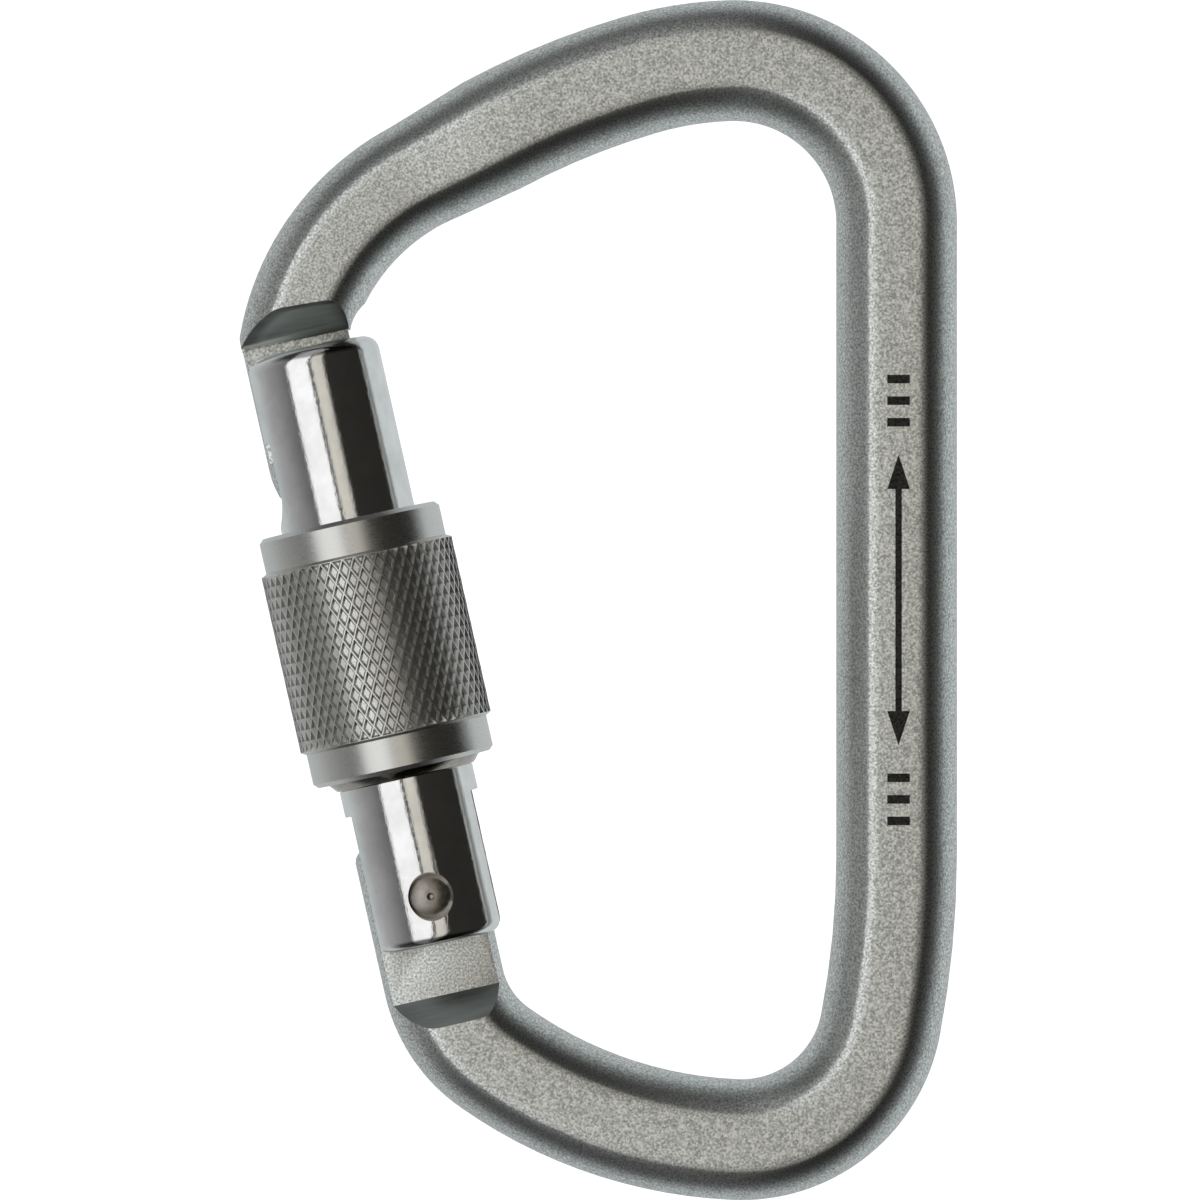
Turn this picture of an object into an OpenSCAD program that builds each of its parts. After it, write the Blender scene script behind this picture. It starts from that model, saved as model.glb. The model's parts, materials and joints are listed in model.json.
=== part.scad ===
// Screw-lock carabiner, D shape with its wide end up: a bent steel bar, a hinged tube gate
// with a T-slot nose, and a knurled sleeve that screws up the gate over the nose.

/* [Bar] */
// Diameter of the round bar
bar_d = 11.3; // [9:0.1:12.5]
// Thickness across the bar's pressed front and back flats
bar_t = 10.2; // [8.8:0.1:12]
// Diameter of the bar where it is drawn down to the nose
nose_d = 10.3; // [8.5:0.1:12.5]

/* [Outline] */
// Length of the straight spine
spine_len = 59; // [50:0.5:71]
// Bend radius at the wide end
wide_r = 15.2; // [12.5:0.1:18.5]
// Bend radius of the crown, beside the wide end
crown_r = 33.4; // [28:0.2:40]
// Angle that the crown turns through
crown_turn = 14.5; // [12:0.5:17.5]
// Radius of the long shallow back of the crown
back_r = 73; // [60:1:88]
// Angle that the shallow back turns through
back_turn = 11.7; // [9.5:0.1:14]
// Length over which the bar is drawn down towards the nose
draw_len = 8; // [6:0.5:10]
// Bend radius above the nose
nose_r = 22.2; // [18.5:0.1:26]
// Angle that the bend above the nose turns through
nose_turn = 61.9; // [58:0.1:66]
// Radius of the spine's slow curve towards the narrow end
lower_spine_r = 84; // [70:1:100]
// Angle of the spine's slow curve
lower_spine_turn = 10.9; // [9:0.1:13]
// Bend radius at the narrow end
narrow_r = 13.2; // [11:0.1:16]
// Angle that the narrow end turns through
narrow_turn = 81.4; // [78:0.1:85]
// Radius of the heel, between the narrow end and the hinge
heel_r = 42; // [35:1:50]
// Angle that the heel turns through
heel_turn = 33; // [28:0.5:38]
// Bend radius just below the hinge
hinge_r = 11.8; // [10:0.1:14]

/* [Nose] */
// Distance from the bar's blank end across to the gate's axis
nose_lead = 2.5; // [2:0.1:3]
// Length cut off the blank end, up to the milled shoulder
nose_cut = 3.9; // [3.1:0.1:4.7]
// Thickness of the flat tongue
tongue_t = 3.8; // [3.2:0.1:4.5]
// How far the tongue's outer face lies inside the tube's surface
tongue_inset = 0.15; // [0.1:0.05:0.3]
// How far the tongue reaches past the gate's axis
tongue_reach = 1.2; // [1:0.1:1.4]
// Length of the tongue's neck below the shoulder
neck_len = 10.7; // [9:0.1:12]
// Length of the T-head on the tongue
head_len = 3.3; // [2.8:0.1:3.9]
// Play between the T-head and the step in its slot, taken up under load
head_play = 1.9; // [1.4:0.1:2.2]
// Gap between the nose's inner edge and the tube's end
nose_rest = 0.15; // [0.1:0.05:0.4]
// Width of the T-head
head_w = 5.8; // [5:0.1:7]
// Tilt of the milled nose shoulder, towards the inside of the loop
shoulder_tilt = 3; // [0:0.5:3.5]
// How far the nose reaches inboard of the gate's axis
nose_reach = 3.85; // [3.7:0.05:4]
// Radius of the relief inboard of the nose
relief_r = 3.5; // [3:0.1:4.2]

/* [Tang] */
// Thickness of the flat tang at the hinge
tang_t = 5.2; // [4.4:0.1:6]
// How far the bar's line lies outboard of the gate's axis
tang_shift = 0.7; // [0.6:0.05:0.85]
// Straight length of the tang, from the bend to the rivet
tang_len = 8.2; // [7:0.1:9.8]
// Height of the tang's end above the rivet, at its outboard corner
tang_top = 5.6; // [5:0.1:6]
// Height of the cam face above the rivet
cam_height = 5.2; // [4.8:0.1:5.5]
// Lift of the cam face, per radian of gate travel
cam_rate = 2.2; // [2:0.05:2.3]
// Angle that the gate opens through
gate_open = 25; // [20:1:27]

/* [Gate] */
// Outer diameter of the gate tube
tube_d = 12.7; // [12.5:0.1:12.8]
// Diameter of the track that the retaining ring slides on, below the thread
track_d = 12; // [11.4:0.1:12.2]
// Height of the tube's full-diameter band at the hinge, which stops the ring
band_top = 11.15; // [10:0.05:12]
// Height of the slots through both sides of the tube at the hinge
slot_top = 8.75; // [7.5:0.05:9.5]
// Overhang of the tube below the rivet
tube_tail = 4.5; // [3.8:0.1:5.4]
// Gap between the tube's end and the nose shoulder
nose_gap = 0.9; // [0.8:0.1:1.1]
// Radius on the tube's end at the nose
tube_top_round = 1.4; // [1.2:0.1:1.7]
// Radius on the tube's end at the hinge
tube_tail_round = 1; // [0.7:0.1:1.3]
// Diameter of the blind bore for plunger and spring
bore_d = 5.2; // [4.8:0.1:5.4]
// Depth of the bore above the rivet
bore_depth = 30.5; // [26:0.5:32]

/* [Lock] */
// Length of the gate left bare above the sleeve when it is unscrewed
bare_len = 17.4; // [16.4:0.1:20]
// Pitch of the locking thread
pitch = 2.5; // [2.1:0.1:3]
// Length of the male thread on the tube
thread_len = 6; // [5:0.5:7.2]
// Crest diameter of the male thread
thread_d = 14.2; // [14:0.1:14.4]
// Height of the thread's ridges
thread_h = 0.7; // [0.6:0.05:0.8]
// Diameter of the sleeve's knurled band
knurl_d = 18.2; // [17.8:0.1:21.8]
// Diameter of the sleeve's plain rims
rim_d = 17.2; // [16.8:0.1:17.6]
// Height of each plain rim
rim_h = 3.25; // [2.7:0.05:3.9]

/* [Small parts] */
// Diameter of the hinge rivet
rivet_d = 4.2; // [3.6:0.1:5]
// Height of the dome on each end of the rivet
rivet_dome = 0.6; // [0.5:0.05:0.7]
// Diameter of the spring's wire
wire_d = 0.7; // [0.6:0.05:0.8]
// Number of turns in the spring
spring_turns = 9; // [8:1:11]
// Length of the plunger's body
plunger_len = 9; // [8.5:0.1:10]
// Length of the plunger's spigot inside the spring
spigot_len = 3; // [2.5:0.1:3.6]
// Height of the retaining ring's cone below the sleeve
ring_cone = 0.8; // [0.7:0.05:0.9]

/* [Clearances] */
// Gap between the rivet and the tang's bore, each side
hinge_gap = 0.05; // [0.02:0.01:0.08]
// Gap between sliding pieces, each side
slide_gap = 0.1; // [0.08:0.01:0.15]
// Gap between flat faces that rest on each other
rest_gap = 0.05; // [0.04:0.01:0.08]
// Gap between the tube's slots and the tang or tongue, each side
slot_gap = 0.2; // [0.15:0.05:0.3]
// Gap between the flanks and crests of the two threads
thread_gap = 0.2; // [0.15:0.01:0.25]

/* [Hidden] */
$fn = 64;
eps = 0.01;
steel = [0.64, 0.64, 0.61];
polished = [0.75, 0.77, 0.76];
dark_steel = [0.34, 0.31, 0.27];
spring_steel = [0.5, 0.5, 0.48];

// ---- Plane geometry of the outline: states are [x, z, heading], and every bend turns right.
function along(h) = [cos(h), sin(h)];
function inboard(h) = [sin(h), -cos(h)];
function spot(s) = [s[0], s[1]];
function bend_centre(s, r) = spot(s) + r * inboard(s[2]);
function bend_point(s, r, a) = bend_centre(s, r) - r * inboard(s[2] - a);
function after_bend(s, r, a) = concat(bend_point(s, r, a), s[2] - a);
function after_line(s, l) = concat(spot(s) + l * along(s[2]), s[2]);

// The wide end turns whatever makes the spine parallel to the bar's blank end.
wide_turn = 180 - nose_turn - back_turn - crown_turn;
blank_end = [0, 0, 90];
draw_start = after_bend(blank_end, nose_r, nose_turn);
back_start = after_line(draw_start, draw_len);
crown_start = after_bend(back_start, back_r, back_turn);
wide_start = after_bend(crown_start, crown_r, crown_turn);
spine_start = after_bend(wide_start, wide_r, wide_turn);
spine_end = after_line(spine_start, spine_len);
narrow_start = after_bend(spine_end, lower_spine_r, lower_spine_turn);
heel_start = after_bend(narrow_start, narrow_r, narrow_turn);
hinge_start = after_bend(heel_start, heel_r, heel_turn);

// The gate's axis runs tangent past the hinge bend, and past the blank end at its lead.
hinge_centre = bend_centre(hinge_start, hinge_r);
to_hinge = hinge_centre - spot(blank_end);
gate_heading = atan2(to_hinge[1], to_hinge[0]) + 180
    - asin((nose_lead + hinge_r - tang_shift) / norm(to_hinge));
hinge_turn = hinge_start[2] - gate_heading + 360;
pivot = hinge_centre - (hinge_r - tang_shift) * inboard(gate_heading)
    + tang_len * along(gate_heading);
shoulder = (spot(blank_end) - pivot) * along(gate_heading) + nose_cut;

// Overall box, from the outer edge of the bends and the tongue's corner.
bends = [
    [blank_end, nose_r, nose_turn], [back_start, back_r, back_turn],
    [crown_start, crown_r, crown_turn], [wide_start, wide_r, wide_turn],
    [spine_end, lower_spine_r, lower_spine_turn], [narrow_start, narrow_r, narrow_turn],
    [heel_start, heel_r, heel_turn], [hinge_start, hinge_r, hinge_turn]
];
edge_points = [
    for (b = bends)
        for (k = [0:40])
            let (a = b[2] * k / 40)
                bend_point(b[0], b[1], a) - bar_d / 2 * inboard(b[0][2] - a)
];
tongue_r = tube_d / 2 - tongue_inset;
relief_x = nose_reach + relief_r;
relief_drop = relief_r / 3;
nose_corner = pivot + shoulder * along(gate_heading) - tongue_r * inboard(gate_heading);
box_middle = [
    (nose_corner[0] + max([for (p = edge_points) p[0]])) / 2,
    (max([for (p = edge_points) p[1]]) + min([for (p = edge_points) p[1]])) / 2
];

// ---- Heights along the gate's axis, from the rivet, and what fits to them.
tube_r = tube_d / 2;
tube_top = shoulder - nose_gap;
head_top = shoulder - neck_len;
head_bottom = head_top - head_len;
bore_r = bore_d / 2;
shoulder_slope = 1.12;
shoulder_drop = 1.1;
tang_shoulder = tang_len + shoulder_drop;
tang_slot_w = tang_t + 2 * slot_gap;
neck_slot_w = tongue_t + 2 * slot_gap;
head_slot_w = head_w + 2 * slot_gap;
ring_bottom = band_top + rest_gap;
sleeve_base = ring_bottom + ring_cone;
sleeve_top = shoulder - bare_len;
sleeve_len = sleeve_top - sleeve_base;
thread_inset = 0.5;
thread_top = sleeve_top - thread_inset;
thread_bottom = thread_top - thread_len;
root_r = thread_d / 2 - thread_h;
sleeve_bore_r = thread_d / 2 + thread_gap;
ridge_r = root_r + thread_gap;
crest_share = 0.26;
crest_w = pitch * crest_share;
ridge_root_w = pitch / 2 - thread_gap;
plunger_r = bore_r - slide_gap;
plunger_bottom = cam_height + rest_gap;
plunger_top = plunger_bottom + plunger_len;
spigot_gap = 0.3;
ring_flange_h = 0.8;
ring_neck_h = 0.7;
ring_flange = 0.35;
ring_in_r = track_d / 2 + slide_gap;

// Places what is drawn in the outline's plane, x across and y up, into the upright frame.
module upright() {
    rotate([90, 0, 0])
        translate([-box_middle[0], -box_middle[1], 0])
            children();
}

// Places what is drawn about the rivet, +Z up the gate, +X inboard.
module on_gate() {
    translate([pivot[0] - box_middle[0], 0, pivot[1] - box_middle[1]])
        rotate([0, 90 - gate_heading, 0])
            children();
}

// Prism from an outline in the gate's X-Z plane, centred on the front-to-back middle.
module gate_plate(thickness) {
    rotate([90, 0, 0])
        linear_extrude(height = thickness, center = true)
            children();
}

// ---- Frame
// Half of the bar's section angle that stays round, on each side of the flats.
round_half = asin(bar_t / bar_d);
arc_steps = 10;
section = [
    for (side = [0, 180])
        for (k = [0:arc_steps])
            let (a = side - round_half + 2 * round_half * k / arc_steps)
                bar_d / 2 * [cos(a), sin(a)]
];

// Rings of the sweep: position in the plane, heading, and scale of the section.
function bend_rings(start, r, a, scale) =
    let (n = ceil(a / 4.5))
        [for (k = [0:n - 1]) concat(after_bend(start, r, a * k / n), scale)];
tang_end = after_line(concat(bend_point(hinge_start, hinge_r, hinge_turn), gate_heading),
                      tang_len + tang_top + 1);
bar_rings = concat(
    bend_rings(blank_end, nose_r, nose_turn, nose_d / bar_d),
    [concat(draw_start, nose_d / bar_d)],
    bend_rings(back_start, back_r, back_turn, 1),
    bend_rings(crown_start, crown_r, crown_turn, 1),
    bend_rings(wide_start, wide_r, wide_turn, 1),
    [concat(spine_start, 1)],
    bend_rings(spine_end, lower_spine_r, lower_spine_turn, 1),
    bend_rings(narrow_start, narrow_r, narrow_turn, 1),
    bend_rings(heel_start, heel_r, heel_turn, 1),
    bend_rings(hinge_start, hinge_r, hinge_turn, 1),
    [concat(bend_point(hinge_start, hinge_r, hinge_turn), gate_heading, 1)],
    [concat(tang_end, 1)]
);

// Solid tube of triangles from rings of equal count.
module skin(rings) {
    n = len(rings[0]);
    last = (len(rings) - 1) * n;
    walls = [
        for (i = [0:len(rings) - 2])
            for (j = [0:n - 1])
                let (p = i * n + j, q = i * n + (j + 1) % n)
                    each [[p, q, p + n], [q, q + n, p + n]]
    ];
    ends = [[for (j = [n - 1:-1:0]) j], [for (j = [0:n - 1]) last + j]];
    polyhedron(points = [for (r = rings) each r], faces = concat(walls, ends), convexity = 10);
}

module bar() {
    skin([
        for (g = bar_rings)
            [
                for (c = section)
                    let (e = spot(g) + c[0] * g[3] * inboard(g[2]))
                        [e[0], e[1], c[1] * g[3]]
            ]
    ]);
}

// Milling cut that leaves a flat of thickness t, with a sloping shoulder rising from z = 0.
module shoulder_cut(t, reach) {
    run = bar_d / 2 - t / 2 + 1;
    rise = run * shoulder_slope;
    for (side = [-1, 1])
        rotate([0, 90, 0])
            linear_extrude(height = 2 * bar_d, center = true)
                polygon([
                    [reach, side * t / 2],
                    [0, side * t / 2],
                    [-rise, side * (t / 2 + run)],
                    [-rise, side * 2 * bar_d],
                    [reach, side * 2 * bar_d]
                ]);
}

// Tongue in side view: it reaches further in above the tube, and its foot curves inwards.
module tongue_outline() {
    foot_r = 9;
    foot_h = 3;
    difference() {
        union() {
            translate([-bar_d, head_bottom])
                square([bar_d + tongue_reach, shoulder - head_bottom + 1]);
            translate([-bar_d, tube_top + nose_rest])
                square([bar_d + nose_reach, nose_gap - nose_rest + 1]);
        }
        difference() {
            translate([-bar_d, head_bottom - 1])
                square([bar_d - tongue_r / 2, foot_h + 1]);
            translate([foot_r - tongue_r, head_bottom + foot_h])
                circle(r = foot_r);
        }
    }
}

module tongue() {
    intersection() {
        cylinder(r = tongue_r, h = shoulder + bar_d);
        union() {
            gate_plate(tongue_t)
                tongue_outline();
            gate_plate(head_w)
                intersection() {
                    tongue_outline();
                    translate([-bar_d, head_bottom])
                        square([2 * bar_d, head_len]);
                }
        }
    }
}

// Face of the cam that lifts the plunger evenly as the gate turns: an involute.
function cam_point(a) =
    let (lift = cam_height + cam_rate * a * PI / 180)
        [lift * sin(a) + cam_rate * cos(a), lift * cos(a) - cam_rate * sin(a)];

module tang_outline() {
    corner_r = 1.5;
    outer = -tang_shift - bar_d / 2;
    inner = -tang_shift + bar_d / 2;
    land_wall = 0.6;
    land = -bore_r - land_wall;
    fall = 1.9;
    cam_steps = 11;
    overtravel = gate_open + 2;
    last = cam_point(overtravel);
    translate([outer - 1, -tang_len - 1])
        square([bar_d + 2, tang_len + 1 + tang_top / 3]);
    translate([outer + corner_r, tang_top - corner_r])
        circle(r = corner_r);
    translate([outer + corner_r, 0])
        square([land - outer - corner_r, tang_top]);
    translate([outer, 0])
        square([land - outer, tang_top - corner_r]);
    polygon(concat(
        [[inner + 1, 0], [land - 1, 0], [land - 1, cam_height], [cam_rate, cam_height]],
        [for (k = [1:cam_steps]) cam_point(overtravel * k / cam_steps)],
        [[inner + 1, last[1] - fall]]
    ));
}

module tang_waste() {
    gate_plate(2 * bar_d)
        difference() {
            translate([-1.5 * bar_d, -tang_len])
                square([3 * bar_d, tang_len + bar_d + tang_top]);
            tang_outline();
        }
}

module frame() {
    color(steel)
        difference() {
            union() {
                difference() {
                    upright() bar();
                    on_gate() {
                        // Blank end beyond the nose shoulder.
                        translate([-bar_d, -bar_d, shoulder - nose_cut - bar_d])
                            cube([1.7 * bar_d, 2 * bar_d, nose_cut + bar_d]);
                        // Outboard edge trimmed flush with the tongue.
                        translate([-tongue_r - bar_d, -bar_d, shoulder - 1])
                            cube([bar_d, 2 * bar_d, 8]);
                        // Relief that lets the tube's end swing clear.
                        translate([relief_x, 0, shoulder - relief_drop])
                            rotate([90, 0, 0])
                                cylinder(r = relief_r, h = 2 * bar_d, center = true);
                        translate([0, 0, shoulder])
                            rotate([0, shoulder_tilt, 0])
                                shoulder_cut(tongue_t, 1.5);
                    }
                }
                on_gate()
                    tongue();
            }
            on_gate() {
                tang_waste();
                translate([0, 0, -tang_shoulder])
                    mirror([0, 0, 1])
                        shoulder_cut(tang_t, 2 * bar_d);
                rotate([90, 0, 0])
                    cylinder(d = rivet_d + 2 * hinge_gap, h = 2 * bar_d, center = true);
            }
        }
}

// ---- Gate
// Helical ridge of one start, from z0 to z1. Inner and outer radii and widths give its form.
module ridge(r_in, r_out, w_in, w_out, z0, z1, phase) {
    per_turn = 30;
    steps = ceil((z1 - z0) / pitch * per_turn);
    points = [
        for (k = [0:steps])
            let (z = z0 + (z1 - z0) * k / steps, a = (z - phase) / pitch * 360)
                for (c = [[r_in, -w_in / 2], [r_out, -w_out / 2], [r_out, w_out / 2], [r_in, w_in / 2]])
                    [c[0] * cos(a), c[0] * sin(a), z + c[1]]
    ];
    sides = [
        for (k = [0:steps - 1])
            for (j = [0:3])
                let (p = 4 * k + j, q = 4 * k + (j + 1) % 4)
                    each [[p, q, p + 4], [q, q + 4, p + 4]]
    ];
    ends = [[3, 2, 1, 0], [for (j = [0:3]) 4 * steps + j]];
    polyhedron(points = points, faces = concat(sides, ends), convexity = 10);
}

module tube_profile() {
    // Hinge end with its rounded edge, and the band that stops the ring.
    translate([0, -tube_tail])
        square([tube_r - tube_tail_round, tube_tail + band_top]);
    translate([0, -tube_tail + tube_tail_round])
        square([tube_r, tube_tail - tube_tail_round + band_top]);
    translate([tube_r - tube_tail_round, -tube_tail + tube_tail_round])
        circle(r = tube_tail_round);
    // The ring's track and the threaded band.
    translate([0, band_top - eps])
        square([track_d / 2, thread_bottom - band_top + 2 * eps]);
    translate([0, thread_bottom])
        square([root_r, thread_len]);
    // Nose end with its rounded edge.
    translate([0, thread_top - eps])
        square([tube_r, tube_top - tube_top_round - thread_top + eps]);
    translate([0, thread_top - eps])
        square([tube_r - tube_top_round, tube_top - thread_top + eps]);
    translate([tube_r - tube_top_round, tube_top - tube_top_round])
        circle(r = tube_top_round);
}

// T-slot for the tongue, open outboard and at the tube's end, with a round foot.
module nose_slot() {
    floor_x = tongue_reach + 1.5 * slot_gap;
    foot_rise = 0.3;
    gate_plate(neck_slot_w)
        translate([-bar_d, head_bottom])
            square([bar_d + floor_x, tube_top - head_bottom + 1]);
    gate_plate(head_slot_w)
        translate([-bar_d, head_bottom + foot_rise])
            square([bar_d + floor_x, head_len + head_play - foot_rise]);
    translate([-bar_d, 0, head_bottom + foot_rise])
        rotate([0, 90, 0])
            cylinder(d = head_slot_w, h = bar_d + floor_x);
}

module gate_tube() {
    color(polished)
        on_gate()
            difference() {
                union() {
                    rotate_extrude()
                        tube_profile();
                    ridge(root_r - 0.3, thread_d / 2, ridge_root_w + 0.3, crest_w,
                          thread_bottom + ridge_root_w, thread_top - ridge_root_w, 0);
                }
                // Blind bore for plunger and spring.
                translate([0, 0, -tube_tail - 1])
                    cylinder(r = bore_r, h = bore_depth + tube_tail + 1);
                // Slot for the tang, through both sides.
                translate([-bar_d, -tang_slot_w / 2, -tube_tail - 1])
                    cube([2 * bar_d, tang_slot_w, tube_tail + 1 + slot_top]);
                nose_slot();
                rotate([90, 0, 0])
                    cylinder(d = rivet_d, h = 2 * bar_d, center = true);
            }
}

module hinge_rivet() {
    dome_r = (pow(rivet_d / 2, 2) + pow(rivet_dome, 2)) / (2 * rivet_dome);
    sunk = 0.1;
    half_len = tube_r - rivet_dome - sunk;
    dimple_r = 0.5;
    color(dark_steel)
        on_gate()
            rotate([90, 0, 0])
                difference() {
                    union() {
                        cylinder(d = rivet_d, h = 2 * half_len, center = true);
                        for (side = [0, 1])
                            mirror([0, 0, side])
                                intersection() {
                                    translate([0, 0, half_len + rivet_dome - dome_r])
                                        sphere(r = dome_r);
                                    cylinder(d = rivet_d, h = tube_r);
                                }
                    }
                    for (side = [-1, 1])
                        translate([0, 0, side * (half_len + rivet_dome + 0.6 * dimple_r)])
                            sphere(r = dimple_r);
                }
}

module spring_plunger() {
    color(dark_steel)
        on_gate() {
            translate([0, 0, plunger_bottom])
                cylinder(r = plunger_r, h = plunger_len);
            translate([0, 0, plunger_top - eps])
                cylinder(r = plunger_r - wire_d - spigot_gap, h = spigot_len + eps);
        }
}

module gate_spring() {
    per_turn = 14;
    sides = 6;
    coil_r = plunger_r - wire_d / 2 - 0.05;
    z0 = plunger_top + wire_d / 2 + rest_gap;
    z1 = bore_depth - wire_d / 2 - rest_gap;
    rings = spring_turns * per_turn;
    points = [
        for (k = [0:rings])
            let (a = k * 360 / per_turn, z = z0 + (z1 - z0) * k / rings)
                for (j = [0:sides - 1])
                    let (b = j * 360 / sides, r = coil_r + wire_d / 2 * cos(b))
                        [r * cos(a), r * sin(a), z + wire_d / 2 * sin(b)]
    ];
    walls = [
        for (k = [0:rings - 1])
            for (j = [0:sides - 1])
                let (p = sides * k + j, q = sides * k + (j + 1) % sides)
                    each [[p, q, p + sides], [q, q + sides, p + sides]]
    ];
    ends = [[for (j = [0:sides - 1]) sides - 1 - j], [for (j = [0:sides - 1]) sides * rings + j]];
    color(spring_steel)
        on_gate()
            polyhedron(points = points, faces = concat(walls, ends), convexity = 12);
}

// ---- Lock
module retaining_ring() {
    neck_r = sleeve_bore_r - slide_gap;
    cone_slope = 0.85;
    split = 1.2;
    color(dark_steel)
        on_gate()
            difference() {
                rotate_extrude()
                    polygon([
                        [ring_in_r, ring_bottom],
                        [neck_r - cone_slope * ring_cone, ring_bottom],
                        [neck_r, sleeve_base - rest_gap],
                        [neck_r, sleeve_base + ring_neck_h],
                        [neck_r + ring_flange, sleeve_base + ring_neck_h],
                        [neck_r + ring_flange, sleeve_base + ring_neck_h + ring_flange_h],
                        [ring_in_r, sleeve_base + ring_neck_h + ring_flange_h]
                    ]);
                // Split at the back, so that it snaps into the sleeve.
                translate([-split / 2, 0, ring_bottom - 1])
                    cube([split, bar_d, ring_cone + ring_neck_h + ring_flange_h + 2]);
            }
}

module sleeve_profile() {
    chamfer = 0.4;
    groove_low = ring_neck_h - rest_gap;
    groove_high = ring_neck_h + ring_flange_h + rest_gap;
    groove_r = sleeve_bore_r + ring_flange;
    polygon([
        [sleeve_bore_r, 0],
        [rim_d / 2 - chamfer, 0],
        [rim_d / 2, chamfer],
        [rim_d / 2, rim_h],
        [knurl_d / 2 - chamfer / 2, rim_h],
        [knurl_d / 2, rim_h + chamfer],
        [knurl_d / 2, sleeve_len - rim_h - chamfer],
        [knurl_d / 2 - chamfer / 2, sleeve_len - rim_h],
        [rim_d / 2, sleeve_len - rim_h],
        [rim_d / 2, sleeve_len - chamfer],
        [rim_d / 2 - chamfer, sleeve_len],
        [sleeve_bore_r, sleeve_len],
        [sleeve_bore_r, groove_high],
        [groove_r, groove_high],
        [groove_r, groove_low],
        [sleeve_bore_r, groove_low]
    ]);
}

module screw_sleeve() {
    ridge_start = sleeve_base + ring_neck_h + ring_flange_h + ridge_root_w;
    color(steel)
        on_gate() {
            translate([0, 0, sleeve_base])
                rotate_extrude()
                    sleeve_profile();
            ridge(ridge_r, sleeve_bore_r + 0.3, crest_w, ridge_root_w + 0.3,
                  ridge_start, sleeve_top - ridge_root_w, pitch / 2);
        }
}

frame();
gate_tube();
hinge_rivet();
spring_plunger();
gate_spring();
retaining_ring();
screw_sleeve();
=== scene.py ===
# %% [markdown]
# # A screw-lock carabiner
# A steel bar is bent into a D, pressed flat front and back, and closed by a hinged tube gate
# with a knurled locking sleeve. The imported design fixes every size, so it is loaded first as a
# frame, and each piece below is modelled again inside it with the finish that steel shows.

# %% Load the frame and keep its box
import json
import math
import bpy
from mathutils import Matrix, Vector


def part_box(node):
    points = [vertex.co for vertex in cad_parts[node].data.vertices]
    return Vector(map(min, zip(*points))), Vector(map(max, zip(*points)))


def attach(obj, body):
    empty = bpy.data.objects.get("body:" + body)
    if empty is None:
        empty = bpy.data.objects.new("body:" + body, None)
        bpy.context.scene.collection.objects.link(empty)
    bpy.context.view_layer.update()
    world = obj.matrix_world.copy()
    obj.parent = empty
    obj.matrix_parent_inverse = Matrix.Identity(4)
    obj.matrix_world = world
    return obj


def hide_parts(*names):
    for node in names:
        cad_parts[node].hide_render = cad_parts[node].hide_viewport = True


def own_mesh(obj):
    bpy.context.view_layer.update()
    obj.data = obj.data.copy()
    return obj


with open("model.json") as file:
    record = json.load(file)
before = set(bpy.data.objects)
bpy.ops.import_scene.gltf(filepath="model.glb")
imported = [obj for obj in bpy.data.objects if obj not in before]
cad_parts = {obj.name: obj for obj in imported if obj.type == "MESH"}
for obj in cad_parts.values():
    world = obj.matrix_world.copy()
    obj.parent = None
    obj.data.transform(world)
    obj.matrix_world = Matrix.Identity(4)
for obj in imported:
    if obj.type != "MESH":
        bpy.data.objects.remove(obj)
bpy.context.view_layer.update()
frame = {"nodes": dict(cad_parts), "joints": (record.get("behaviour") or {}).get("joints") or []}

# %% [markdown]
# ## The gate's own axes
# Everything on the gate turns about the rivet, and the gate leans some 12.6 degrees from
# the spine. Turned pieces are far easier to model upright at the origin and hung in place at the
# end, so the rivet's place and the gate's axis are read from the joints, and each design
# solid is measured along that axis.

# %% Read the rivet, the gate's axis and the reach of each solid
metre = 1000  # millimetres
joints = {joint["name"]: joint for joint in frame["joints"]}
rivet_place = metre * Vector(joints["gate_swing"]["pos_m"])
gate_axis = Vector(joints["ring_slide"]["axis"])
gate_tilt = math.atan2(gate_axis.x, gate_axis.z)
from_gate = Matrix.Translation(rivet_place) @ Matrix.Rotation(gate_tilt, 4, "Y")
to_gate = from_gate.inverted()


def reach(node):
    """Lowest height, highest height and widest radius of a solid, about the gate's axis."""
    solid = frame["nodes"][node]
    spots = [to_gate @ (metre * (solid.matrix_world @ v.co)) for v in solid.data.vertices]
    heights = [s.z for s in spots]
    return min(heights), max(heights), max(math.hypot(s.x, s.y) for s in spots)


tube_tail, tube_top, thread_r = reach("gate_tube")
sleeve_base, sleeve_top, knurl_r = reach("screw_sleeve")
ring_base, ring_top, ring_r = reach("retaining_ring")
print("gate tilt", round(math.degrees(gate_tilt), 2), "tube from", round(tube_tail, 2),
      "to", round(tube_top, 2), "sleeve from", round(sleeve_base, 2),
      "to", round(sleeve_top, 2))

# %% [markdown]
# ## Helpers at the bench
# Four habits repeat on every piece: starting with nothing selected, picking vertices, edges or
# faces by where they are, running a cutter through a piece, and hanging a turned piece on the
# gate. Each is a short function. The bench is in millimetres, because bevels and booleans
# lose precision on shapes a few thousandths of a unit long, and a finished piece is scaled
# down to metres once.

# %% Start a piece and pick parts of it
hair = 0.002


def start_clean():
    """Leaves edit mode and deselects everything, the frame's own solids included."""
    if bpy.context.object and bpy.context.object.mode != "OBJECT":
        bpy.ops.object.mode_set(mode="OBJECT")
    bpy.ops.object.select_all(action="DESELECT")


def named(name):
    """Names the primitive just added and moves its place into its mesh."""
    piece = bpy.context.object
    piece.name = name
    piece.data.name = name
    bpy.ops.object.transform_apply(location=True, rotation=True, scale=True)
    return piece


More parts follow.
